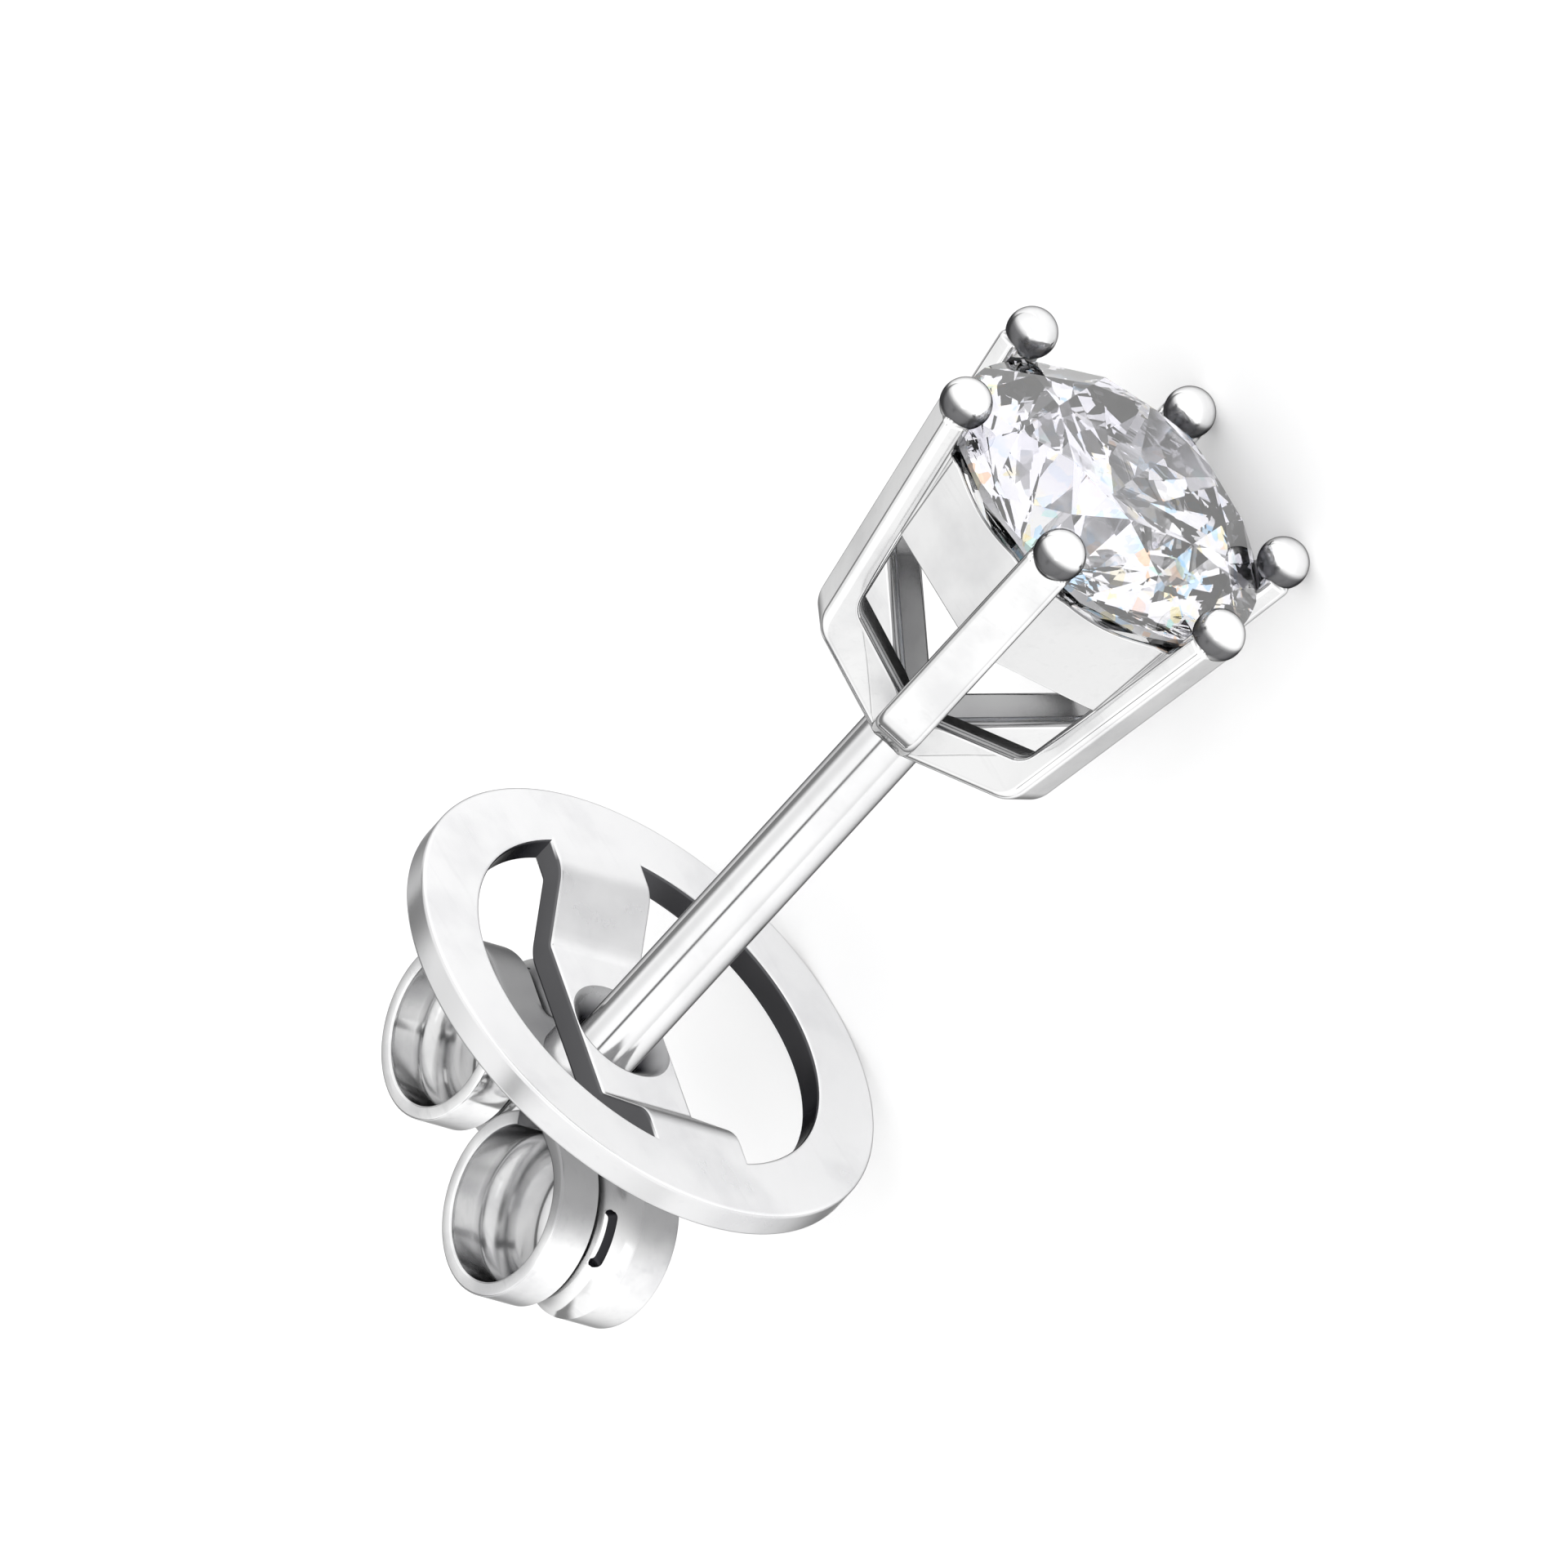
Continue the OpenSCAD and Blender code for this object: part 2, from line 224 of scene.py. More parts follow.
def lay(piece, sharp=30, material=None, painted_shade=None):
    """Lays a finished piece down with the stud, its faces outwards and its soft edges smooth.

    The given rule tells from a point and its face's normal how much painted shade, a darker
    colour, it gets there. Corners of more than sharp degrees stay crisp.
    """
    mesh = piece.data
    form = bmesh.new()
    form.from_mesh(mesh)
    bmesh.ops.remove_doubles(form, verts=form.verts, dist=1e-5)
    bmesh.ops.recalc_face_normals(form, faces=form.faces)
    form.normal_update()
    # Painted shade: each face corner keeps how much darker the given rule paints it
    painted_shade_layer = form.loops.layers.float.new("painted_shade")
    for face in form.faces:
        for corner in face.loops:
            corner[painted_shade_layer] = painted_shade(corner.vert.co, face.normal) if painted_shade else 0.0
    form.to_mesh(mesh)
    form.free()
    mesh.shade_smooth()
    mesh.set_sharp_from_angle(angle=math.radians(sharp))
    weigh = piece.modifiers.new("even faces", "WEIGHTED_NORMAL")
    weigh.keep_sharp = True
    plain_piece(piece)
    piece.data.transform(lie_down)
    if material:
        piece.data.materials.clear()
        piece.data.materials.append(material)
    return piece


def shown(name, data):
    """A new object in the scene that holds a mesh, a lamp or a lens."""
    made = bpy.data.objects.new(name, data)
    bpy.context.scene.collection.objects.link(made)
    return made


head_gold = white_gold(
    "head white gold",
    metal=(0.92, 0.92, 0.92, 1),
    cloud=(0.78, 0.78, 0.785, 1),
    bright=0.05,
    dull=0.1,
    hairline_depth=4e-7,
    wave=500,
    rim_tone=0.2,
)

# One claw: the outline of its side view, with its two elbow corners rounded, drawn out to
# the claw's width
side_view, given, result = new_group(
    "claw side view",
    "GeometryNodeTree",
    [
        ("Outer top", "NodeSocketVector", None),
        ("Outer corner", "NodeSocketVector", None),
        ("Foot low", "NodeSocketVector", None),
        ("Foot high", "NodeSocketVector", None),
        ("Inner corner", "NodeSocketVector", None),
        ("Inner top", "NodeSocketVector", None),
        ("Outer radius", "NodeSocketFloat", 0.7),
        ("Inner radius", "NodeSocketFloat", 0.5),
        ("Width", "NodeSocketFloat", 0.6),
    ],
    [("Geometry", "NodeSocketGeometry")],
)
outline_points = 6
step = add(side_view, "GeometryNodeInputIndex").outputs[0]
corner = add(side_view, "GeometryNodeIndexSwitch", {"Index": step}, data_type="VECTOR")
bend = add(side_view, "GeometryNodeIndexSwitch", {"Index": step}, data_type="FLOAT")
# A new switch has two values, and its first socket is the index
for _ in range(outline_points - 2):
    corner.index_switch_items.new()
    bend.index_switch_items.new()
for number in range(outline_points):
    side_view.links.new(given[number], corner.inputs[number + 1])
side_view.links.new(given["Outer radius"], bend.inputs[2])
side_view.links.new(given["Inner radius"], bend.inputs[5])
corners = add(side_view, "GeometryNodePoints", {
    "Count": outline_points, "Position": corner.outputs[0],
})
line = add(side_view, "GeometryNodePointsToCurves", {"Points": corners.outputs[0]})
outline = add(side_view, "GeometryNodeSetSplineCyclic", {
    "Geometry": line.outputs[0], "Cyclic": True,
})
rounded = add(side_view, "GeometryNodeFilletCurve", {
    "Curve": outline.outputs[0], "Radius": bend.outputs[0], "Count": elbow_steps,
}, mode="POLY")
near = reckon(side_view, "MULTIPLY", given["Width"], -0.5)
far = reckon(side_view, "MULTIPLY", given["Width"], 0.5)
near_end = add(side_view, "ShaderNodeCombineXYZ", {"Z": near})
far_end = add(side_view, "ShaderNodeCombineXYZ", {"Z": far})
across = add(side_view, "GeometryNodeCurvePrimitiveLine", {
    "Start": near_end.outputs[0], "End": far_end.outputs[0],
})
level = add(side_view, "GeometryNodeSetCurveNormal", {"Curve": across.outputs[0]}, mode="Z_UP")
bar = add(side_view, "GeometryNodeCurveToMesh", {
    "Curve": level.outputs[0], "Profile Curve": rounded.outputs[0], "Fill Caps": True,
})
stood = add(side_view, "GeometryNodeTransform", {
    "Geometry": bar.outputs[0], "Rotation": (math.pi / 2, 0, 0),
})
side_view.links.new(stood.outputs[0], result["Geometry"])

# All the claws: each gets its notch and its ball, and they are set round the stone
around_stone, given, result = new_group(
    "claws round the stone",
    "GeometryNodeTree",
    [
        ("Claw", "NodeSocketGeometry", None),
        ("Claws", "NodeSocketInt", 6),
        ("Ball", "NodeSocketVector", None),
        ("Ball radius", "NodeSocketFloat", 0.4),
        ("Seat radius", "NodeSocketFloat", 2.6),
        ("Seat level", "NodeSocketFloat", 5.0),
        ("Seat depth", "NodeSocketFloat", 2.0),
        ("Seat height", "NodeSocketFloat", 0.2),
        ("Metal", "NodeSocketMaterial", None),
    ],
    [("Geometry", "NodeSocketGeometry")],
)
cone = add(around_stone, "GeometryNodeMeshCone", {
    "Vertices": round_steps,
    "Radius Top": given["Seat radius"],
    "Radius Bottom": 0.0,
    "Depth": given["Seat depth"],
})
cone_level = reckon(around_stone, "SUBTRACT", given["Seat level"], given["Seat depth"])
cone_place = add(around_stone, "ShaderNodeCombineXYZ", {"Z": cone_level})
cone_down = add(around_stone, "GeometryNodeTransform", {
    "Geometry": cone.outputs["Mesh"], "Translation": cone_place.outputs[0],
})
drum = add(around_stone, "GeometryNodeMeshCylinder", {
    "Vertices": round_steps, "Radius": given["Seat radius"], "Depth": given["Seat height"],
})
drum_level = reckon(around_stone, "MULTIPLY_ADD", given["Seat height"], 0.5, given["Seat level"])
drum_place = add(around_stone, "ShaderNodeCombineXYZ", {"Z": drum_level})
drum_up = add(around_stone, "GeometryNodeTransform", {
    "Geometry": drum.outputs["Mesh"], "Translation": drum_place.outputs[0],
})
notched = add(around_stone, "GeometryNodeMeshBoolean", {
    "Mesh 1": given["Claw"], "Mesh 2": cone_down.outputs[0],
}, operation="DIFFERENCE", solver="EXACT")
around_stone.links.new(drum_up.outputs[0], notched.inputs["Mesh 2"])
ball = add(around_stone, "GeometryNodeMeshUVSphere", {
    "Segments": 64, "Rings": 32, "Radius": given["Ball radius"],
})
ball_out = add(around_stone, "GeometryNodeTransform", {
    "Geometry": ball.outputs["Mesh"], "Translation": given["Ball"],
})
claw = add(around_stone, "GeometryNodeJoinGeometry", {"Geometry": notched.outputs[0]})
around_stone.links.new(ball_out.outputs[0], claw.inputs[0])
centres = add(around_stone, "GeometryNodePoints", {"Count": given["Claws"]})
which = add(around_stone, "GeometryNodeInputIndex").outputs[0]
part_turn = reckon(around_stone, "DIVIDE", math.tau, given["Claws"])
turn = add(around_stone, "ShaderNodeCombineXYZ", {
    "Z": reckon(around_stone, "MULTIPLY", which, part_turn),
})
six = add(around_stone, "GeometryNodeInstanceOnPoints", {
    "Points": centres.outputs[0], "Instance": claw.outputs[0], "Rotation": turn.outputs[0],
})
real = add(around_stone, "GeometryNodeRealizeInstances", {"Geometry": six.outputs[0]})
dressed = add(around_stone, "GeometryNodeSetMaterial", {
    "Geometry": real.outputs[0], "Material": given["Metal"],
})
around_stone.links.new(dressed.outputs[0], result["Geometry"])


def claw_line(in_claw, in_arm):
    """Top, elbow corner and foot of a line inside a claw's side view.

    The line is in_claw from the claw's outer face and in_arm from the arm's lower one. Its top
    is hidden in the ball, and its foot runs a little past the axis, where the arms meet.
    """
    slope, lean = math.tan(arm_slope), math.tan(claw_lean)
    side = claw_t / 2 - in_claw
    middle = claw_reach - claw_t / 2 / math.cos(claw_lean)
    foot = claw_reach - in_claw / math.cos(claw_lean) - tip_z * lean
    level = ((foot - post_r) * slope + in_arm / math.cos(arm_slope)) / (1 - lean * slope)
    top = (
        middle - tip_cover * math.sin(claw_lean) + side * math.cos(claw_lean),
        tip_z - tip_cover * math.cos(claw_lean) - side * math.sin(claw_lean),
        0,
    )
    end = (-foot_past, in_arm / math.cos(arm_slope) - (post_r + foot_past) * slope, 0)
    return top, (foot + level * lean, level, 0), end


def set_inputs(modifier, sizes):
    """Gives a tree's named inputs their values."""
    for socket in modifier.node_group.interface.items_tree:
        if socket.item_type == "SOCKET" and socket.in_out == "INPUT" and socket.name in sizes:
            modifier[socket.identifier] = sizes[socket.name]


claws = shown("claws", bpy.data.meshes.new("claws"))
outer_top, outer_corner, foot_low = claw_line(0, 0)
inner_top, inner_corner, foot_high = claw_line(claw_t, arm_t)
bar_on = claws.modifiers.new("claw", "NODES")
bar_on.node_group = side_view
set_inputs(bar_on, {
    "Outer top": outer_top,
    "Outer corner": outer_corner,
    "Foot low": foot_low,
    "Foot high": foot_high,
    "Inner corner": inner_corner,
    "Inner top": inner_top,
    "Outer radius": elbow_r,
    "Inner radius": inner_elbow_r,
    "Width": claw_w,
})
soft_edges = claws.modifiers.new("soft edges", "BEVEL")
soft_edges.width = claw_edge
soft_edges.segments = 6
soft_edges.limit_method = "ANGLE"
soft_edges.angle_limit = math.radians(40)
all_on = claws.modifiers.new("claws", "NODES")
all_on.node_group = around_stone
seat_level = girdle_low_z - seat_gap / math.cos(pavilion_slope)
set_inputs(all_on, {
    "Claws": claw_count,
    "Ball": (tip_orbit, 0, tip_z),
    "Ball radius": tip_r,
    "Seat radius": stone_r + seat_gap,
    "Seat level": seat_level,
    "Seat depth": (stone_r + seat_gap) * math.tan(pavilion_slope),
    "Seat height": girdle_top_z + seat_gap - seat_level,
    "Metal": head_gold,
})
plain_piece(claws)


def soft_step(value, start, end):
    """0 up to start and 1 from end, with a soft rise between them."""
    share = min(1.0, max(0.0, (value - start) / (end - start)))
    return share * share * (3 - 2 * share)


def polar(r, a, z):
    """A point at a radius and a turn about the stud's axis, and its level."""
    return Vector((r * math.cos(a), r * math.sin(a), z))


def looks_in(point, normal):
    """How far a face looks in towards the stud's axis, from -1 to 1."""
    return -(normal.x * point.x + normal.y * point.y) / max(math.hypot(point.x, point.y), 1e-6)


# Painted shade on the head, as shares of near-black metal: a band round the balls, and the inner
# faces above and below a level
painted_collar_shade = 0.88
painted_shade_upper = 0.3
painted_shade_lower = 0.6
painted_shade_border_z = 3.3


def head_painted_shade(point, normal):
    """Painted shade on the head: a dark band round each ball's middle, and the faces that look in
    or up below the girdle darker, most of all low down.
    """
    around = round(math.atan2(point.y, point.x) * claw_count / math.tau) * math.tau / claw_count
    if abs((point - polar(tip_orbit, around, tip_z)).length - tip_r) < 0.01:
        height = (point.z - tip_z) / tip_r
        return painted_collar_shade * soft_step(height, 0.4, 0.12) * soft_step(height, -0.75, -0.35)
    if point.z > girdle_low_z or max(looks_in(point, normal), normal.z) < 0.3:
        return 0.0
    return painted_shade_upper if point.z > painted_shade_border_z else painted_shade_lower


lay(claws, painted_shade=head_painted_shade)
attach(claws, "stud")
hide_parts("setting")

# Gallery rail: a six-sided band of white gold between the claws, soldered to them on its
# corners. The stone's seat is cut into its upper edge, so each side dips in its middle.
rail_reach = 2.38
rail_lean = math.radians(6)
rail_t = 0.42
rail_h = 1.6
rail_drop = 0.15
rail_top_z = girdle_low_z - rail_drop
rail_edge = 0.035
rail_steps = 24
half_side = math.tan(math.pi / claw_count)


def eased(corners, radius, steps=4, only=None):
    """A closed outline, as complex numbers, with its corners rounded, or only some of them."""
    line = []
    for i, here in enumerate(corners):
        back = corners[i - 1] - here
        on = corners[(i + 1) % len(corners)] - here
        if only and i not in only:
            line.append(here)
            continue
        half = abs(cmath.phase(back / on)) / 2
        cut = min(radius / math.tan(half), 0.45 * abs(back), 0.45 * abs(on))
        start = here + cut * back / abs(back)
        end = here + cut * on / abs(on)
        middle = back / abs(back) + on / abs(on)
        centre = here + middle / abs(middle) * cut / math.cos(half)
        sweep = cmath.phase((end - centre) / (start - centre))
        turns = (cmath.exp(1j * sweep * s / steps) for s in range(steps + 1))
        line += [centre + (start - centre) * turn for turn in turns]
    return line


def skin(name, rings, loop=False):
    """A closed mesh over rings of points. Its ends are capped, or joined in a loop."""
    form = bmesh.new()
    rows = [[form.verts.new(p) for p in ring] for ring in rings]
    around = len(rows[0])
    for a, b in zip(rows, rows[1:] + rows[:1]) if loop else zip(rows, rows[1:]):
        for i in range(around):
            j = (i + 1) % around
            form.faces.new((a[i], a[j], b[j], b[i]))
    if not loop:
        form.faces.new(list(reversed(rows[0])))
        form.faces.new(rows[-1])
    bmesh.ops.recalc_face_normals(form, faces=form.faces)
    mesh = bpy.data.meshes.new(name)
    form.to_mesh(mesh)
    form.free()
    return shown(name, mesh)


def rail_ring(side, f):
    """The rail's cross-section at share f, -1 to 1, of one side, cut by the stone's seat."""
    stretch = math.sqrt(1 + (f * half_side) ** 2)
    seat_foot = girdle_low_z - seat_gap / math.cos(pavilion_slope)
    seat_foot -= (stone_r + seat_gap) * math.tan(pavilion_slope)

    def cut_level(reach):
        # Where a face that leans out meets the seat's cone: a few rounds settle it
        lean = math.tan(rail_lean)
        level = rail_top_z
        for _ in range(12):
            r = reach - (rail_top_z - level) * lean
            level = min(rail_top_z, seat_foot + r * stretch * math.tan(pavilion_slope))
        return complex(reach - (rail_top_z - level) * lean, level)

    low = complex(rail_reach - rail_h * math.tan(rail_lean), rail_top_z - rail_h)
    outline = [low - rail_t, low, cut_level(rail_reach), cut_level(rail_reach - rail_t)]
    middle = math.tau * (side + 0.5) / claw_count
    ring = []
    for p in eased(outline, rail_edge):
        across = p.real * f * half_side
        ring.append(Vector((
            p.real * math.cos(middle) - across * math.sin(middle),
            p.real * math.sin(middle) + across * math.cos(middle),
            p.imag,
        )))
    return ring


rail_rings = [
    rail_ring(side, 2 * s / rail_steps - 1) for side in range(claw_count) for s in range(rail_steps)
]
rail = skin("gallery_rail", rail_rings, loop=True)
lay(rail, material=head_gold, painted_shade=head_painted_shade)
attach(rail, "stud")
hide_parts("setting")

# Post: drawn white gold wire, soldered under the head, that goes through the ear and the
# ear back. Its tip is rounded so that it enters both easily.
post_len = 10.1
post_top_z = 0.2
tip_dome = 0.6
tip_flat_r = 0.004
tip_flat_t = 1e-5
dome_steps = 12


def circle(radius, level):
    """A ring of points about the stud's axis."""
    return [polar(radius, math.tau * i / round_steps, level) for i in range(round_steps)]


post_gold = white_gold(
    "post white gold",
    metal=(0.84, 0.84, 0.845, 1),
    cloud=(0.77, 0.77, 0.775, 1),
    bright=0.11,
    dull=0.15,
    hairline_depth=3e-7,
    wave=0,
    rim_tone=0.1,
)
dome_turn = math.asin(post_r / tip_dome)
post_rings = [circle(tip_flat_r, tip_flat_t - post_len)]
for s in range(1, dome_steps + 1):
    a = dome_turn * s / dome_steps
    post_rings.append(circle(tip_dome * math.sin(a), tip_dome - post_len - tip_dome * math.cos(a)))
post_rings.append(circle(post_r, post_top_z))
post = skin("post", post_rings)
lay(post, sharp=45, material=post_gold)
# The post doesn't mirror in the bridge, nor the disc in the post, as in the photo
post.visible_glossy = False
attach(post, "stud")
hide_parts("setting")

# Stone: a round brilliant cut from one diamond, with a table, 32 crown facets, a thin round
# girdle and 24 pavilion facets. It drops into the notches of the claws, and the ball tips
# hold its edge. The girdle is left frosted, as the cutter bruted it.
table_share = 0.57
crown_slope = math.radians(34.5)
star_share = 0.52
lower_half_share = 0.77
mains = 8
girdle_steps = 4
table_r = stone_r * table_share
half_turn = math.pi / mains
table_z = girdle_top_z + (stone_r - table_r) * math.tan(crown_slope)
culet_z = girdle_low_z - stone_r * math.tan(pavilion_slope)
star_r = table_r * math.cos(half_turn)
star_r += star_share * (stone_r - star_r)
star_z = table_z - (star_r * math.cos(half_turn) - table_r) * math.tan(crown_slope)
lower_r = stone_r * (1 - lower_half_share)
lower_z = culet_z + lower_r * math.cos(half_turn) * math.tan(pavilion_slope)


def girdle_edge(inner, a, b, z):
    """The girdle's edge under one half facet: the facet's plane meets the round girdle."""
    p = polar(stone_r, a, z)
    q = polar(stone_r, b, z)
    n = (q - p).cross(inner - p)
    edge = []
    for i in range(girdle_steps):
        g = polar(stone_r, a + (b - a) * i / girdle_steps, 0)
        edge.append(Vector((g.x, g.y, p.z - (n.x * (g.x - p.x) + n.y * (g.y - p.y)) / n.z)))
    return edge


halves = 2 * mains
table = [polar(table_r, 2 * half_turn * k, table_z) for k in range(mains)]
stars = [polar(star_r, half_turn * (2 * k + 1), star_z) for k in range(mains)]
lowers = [polar(lower_r, half_turn * (2 * k + 1), lower_z) for k in range(mains)]
top_edge = []
low_edge = []
for h in range(halves):
    span = (half_turn * h, half_turn * (h + 1))
    top_edge += girdle_edge(stars[h // 2], *span, girdle_top_z)
    low_edge += girdle_edge(lowers[h // 2], *span, girdle_low_z)
form = bmesh.new()
frosted = form.faces.layers.float.new("frosted")
table_v, star_v, top_v, low_v, lower_v = (
    [form.verts.new(p) for p in line] for line in (table, stars, top_edge, low_edge, lowers)
)
culet_v = form.verts.new((0, 0, culet_z))
form.faces.new(table_v)
for k in range(mains):
    form.faces.new((table_v[k], star_v[k], table_v[(k + 1) % mains]))
    form.faces.new((table_v[k], star_v[k - 1], top_v[2 * girdle_steps * k], star_v[k]))
ring_points = halves * girdle_steps
girdle_faces = []
for h in range(halves):
    run = [(girdle_steps * h + i) % ring_points for i in range(girdle_steps + 1)]
    form.faces.new([star_v[h // 2]] + [top_v[i] for i in run])
    form.faces.new([low_v[i] for i in reversed(run)] + [lower_v[h // 2]])
    for i, j in zip(run, run[1:]):
        girdle_faces.append(form.faces.new((top_v[i], low_v[i], low_v[j], top_v[j])))
for k in range(mains):
    form.faces.new((lower_v[k], culet_v, lower_v[k - 1], low_v[2 * girdle_steps * k]))
bmesh.ops.recalc_face_normals(form, faces=form.faces)
for face in girdle_faces:
    face[frosted] = 1.0
stone_mesh = bpy.data.meshes.new("stone")
form.to_mesh(stone_mesh)
form.free()
brilliant = shown("brilliant", stone_mesh)
brilliant.data.transform(lie_down)

diamond = bpy.data.materials.new("diamond")
diamond.use_nodes = True
tree = diamond.node_tree
shader = tree.nodes["Principled BSDF"]
shader.inputs["Transmission Weight"].default_value = 1.0
shader.inputs["IOR"].default_value = 2.417
place = add(tree, "ShaderNodeTexCoord")
# Painted fire: the stone's colour is split into small cells tinted yellow, green, violet, orange
# and blue, standing in for the coloured flashes of split light
splinter = add(tree, "ShaderNodeTexVoronoi", {
    "Vector": place.outputs["Object"], "Scale": 5200.0,
})
clear = (1, 1, 1, 1)
yellow = (1, 0.85, 0.4, 1)
green = (0.5, 1, 0.85, 1)
orange = (1, 0.5, 0.25, 1)
blue = (0.35, 0.65, 1, 1)
violet = (0.93, 0.93, 1, 1)
pale_violet = (0.97, 0.96, 1, 1)
painted_fire_steps = (
    (0.0, yellow), (0.17, green), (0.20, clear), (0.34, violet), (0.46, clear),
    (0.60, pale_violet), (0.72, clear), (0.76, orange), (0.775, clear), (0.80, blue),
)
painted_fire = add(tree, "ShaderNodeValToRGB", {"Fac": splinter.outputs["Color"]})
painted_fire.color_ramp.interpolation = "CONSTANT"
while len(painted_fire.color_ramp.elements) < len(painted_fire_steps):
    painted_fire.color_ramp.elements.new(0.5)
for element, (at, tone) in zip(painted_fire.color_ramp.elements, painted_fire_steps):
    element.position = at
    element.color = tone
# Painted reflection: soft patches of pale violet in the stone's colour
painted_reflection_noise = add(tree, "ShaderNodeTexNoise", {
    "Vector": place.outputs["Object"], "Scale": 420.0, "Detail": 2.0,
})
painted_reflection_share = add(tree, "ShaderNodeMapRange", {
    "Value": painted_reflection_noise.outputs["Fac"], "From Min": 0.48, "From Max": 0.6,
})
painted_reflection_violet = (0.90, 0.885, 0.985, 1)
tinted = blended(tree, painted_reflection_share.outputs[0], painted_fire.outputs["Color"], painted_reflection_violet)
frost = add(tree, "ShaderNodeAttribute", attribute_name="frosted")
frost_rough = add(tree, "ShaderNodeMapRange", {"Value": frost.outputs["Fac"], "To Max": 0.35})
# Each splinter of the stone's sparkle also tilts the light a little
face_way = add(tree, "ShaderNodeNewGeometry")
large_splinter = add(tree, "ShaderNodeTexVoronoi", {
    "Vector": place.outputs["Object"], "Scale": 1500.0,
})
tilt = add(tree, "ShaderNodeVectorMath", {
    0: large_splinter.outputs["Color"], 1: (0.5, 0.5, 0.5),
}, operation="SUBTRACT")
small = add(tree, "ShaderNodeVectorMath", {0: tilt.outputs[0], "Scale": 0.03}, operation="SCALE")
tilted = add(tree, "ShaderNodeVectorMath", {
    0: face_way.outputs["Normal"], 1: small.outputs[0],
}, operation="ADD")
splintered = add(tree, "ShaderNodeVectorMath", {0: tilted.outputs[0]}, operation="NORMALIZE")
tree.links.new(splintered.outputs[0], shader.inputs["Normal"])
tree.links.new(tinted, shader.inputs["Base Color"])
tree.links.new(frost_rough.outputs[0], shader.inputs["Roughness"])
brilliant.data.materials.append(diamond)
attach(brilliant, "stud")
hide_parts("stone")

# Ear back disc: stamped from one sheet of white gold, a flat ring whose middle strip is
# pressed back into a bridge. The bridge is dished round the hole for the post, and an
# eyelet pressed through from behind holds the scroll strip.
disc_z = -6.1
disc_r = 4.0
rim_w = 1.0
sheet_t = 0.45
rim_edge = 0.06
rim_low = disc_r - rim_w
bridge_w = 1.7
bridge_thinner = 0.001
bridge_drop = 0.7
bridge_bend = 2.52
bend_r = 0.35
bend_slope = math.radians(38)
bend_steps = 12
slope_steps = 8
bridge_turn = math.radians(-16)
turn_back = Matrix.Rotation(-bridge_turn, 4, "Z")
bore_r = 0.53
bore_end_z = -3.0
cup_r = 0.78
cup_depth = 0.34
cup_lip = 0.06
scroll_r = 1.38
scroll_depth = 3.0
strip_t = 0.22
eyelet_r = 0.7
eyelet_shoulder_r = 0.76
eyelet_flare_r = 0.85
eyelet_flare_t = 0.12
eyelet_edge = 0.03
eyelet_sunk = 0.05
eyelet_gap = 0.02
strip_front = scroll_depth - scroll_r
# Painted shade on the disc, as shares of near-black metal
painted_opening_shade = 0.95
painted_bridge_side_shade = 0.9
painted_bore_shade = 1.0
painted_dish_shade = 0.6
painted_rim_wall_shade = 0.2
painted_slope_shade = 0.28


def lathe(name, outline, steps):
    """A closed outline of radius and level, turned once round the axis."""
    turns = (math.tau * s / steps for s in range(steps))
    return skin(name, [[polar(p.real, a, p.imag) for p in outline] for a in turns], loop=True)


def combine(piece, other, operation):
    """Joins another solid to a piece, or cuts it away, and drops the other."""
    cut = piece.modifiers.new("cut", "BOOLEAN")
    cut.object = other
    cut.operation = operation
    cut.solver = "EXACT"
    plain_piece(piece)
    bpy.data.objects.remove(other)
    return piece


disc = lathe("ear_back_disc", eased([
    complex(rim_low, -sheet_t), complex(disc_r, -sheet_t), complex(disc_r, 0), complex(rim_low, 0),
], rim_edge), steps=160)

fall = 2 * bend_r * (1 - math.cos(bend_slope))
slope_len = (bridge_drop - fall) / math.sin(bend_slope)
upper_bend = complex(bridge_bend, -sheet_t / 2 - bend_r)
lower_bend = complex(
    bridge_bend - 2 * bend_r * math.sin(bend_slope) - slope_len * math.cos(bend_slope),
    -sheet_t / 2 - bridge_drop + bend_r,
)
# Points of the sheet's middle, with the slope there, from the rim in to the axis
half_way = [(complex(disc_r - rim_w / 2, -sheet_t / 2), 0.0)]
for s in range(bend_steps + 1):
    a = bend_slope * s / bend_steps
    half_way.append((upper_bend + bend_r * complex(-math.sin(a), math.cos(a)), a))
slope_top = half_way[-1][0]
slope_foot = lower_bend - bend_r * complex(-math.sin(bend_slope), math.cos(bend_slope))
for s in range(1, slope_steps):
    half_way.append((slope_top + (slope_foot - slope_top) * s / slope_steps, bend_slope))
for s in range(bend_steps, -1, -1):
    a = bend_slope * s / bend_steps
    half_way.append((lower_bend - bend_r * complex(-math.sin(a), math.cos(a)), a))
way = half_way + [(complex(-p.real, p.imag), -a) for p, a in reversed(half_way)]
half_w = bridge_w / 2
half_t = sheet_t / 2 - bridge_thinner
sheet = eased([
    complex(-half_w, -half_t), complex(half_w, -half_t),
    complex(half_w, half_t), complex(-half_w, half_t),
], rim_edge)
bridge = skin("bridge", [
    [
        Vector((p.real - q.imag * math.sin(a), q.real, p.imag + q.imag * math.cos(a)))
        for q in sheet
    ]
    for p, a in way
])
mid_back = -bridge_drop - sheet_t
shoulder_z = -strip_front + eyelet_gap
flare_z = -strip_front - strip_t - eyelet_gap
eyelet = lathe("eyelet", eased([
    complex(bore_r, flare_z - eyelet_flare_t),
    complex(eyelet_flare_r, flare_z - eyelet_flare_t),
    complex(eyelet_flare_r, flare_z),
    complex(eyelet_r - eyelet_gap, flare_z),
    complex(eyelet_r - eyelet_gap, shoulder_z),
    complex(eyelet_shoulder_r, shoulder_z),
    complex(eyelet_shoulder_r, mid_back + eyelet_sunk),
    complex(bore_r, mid_back + eyelet_sunk),
], eyelet_edge), steps=round_steps)
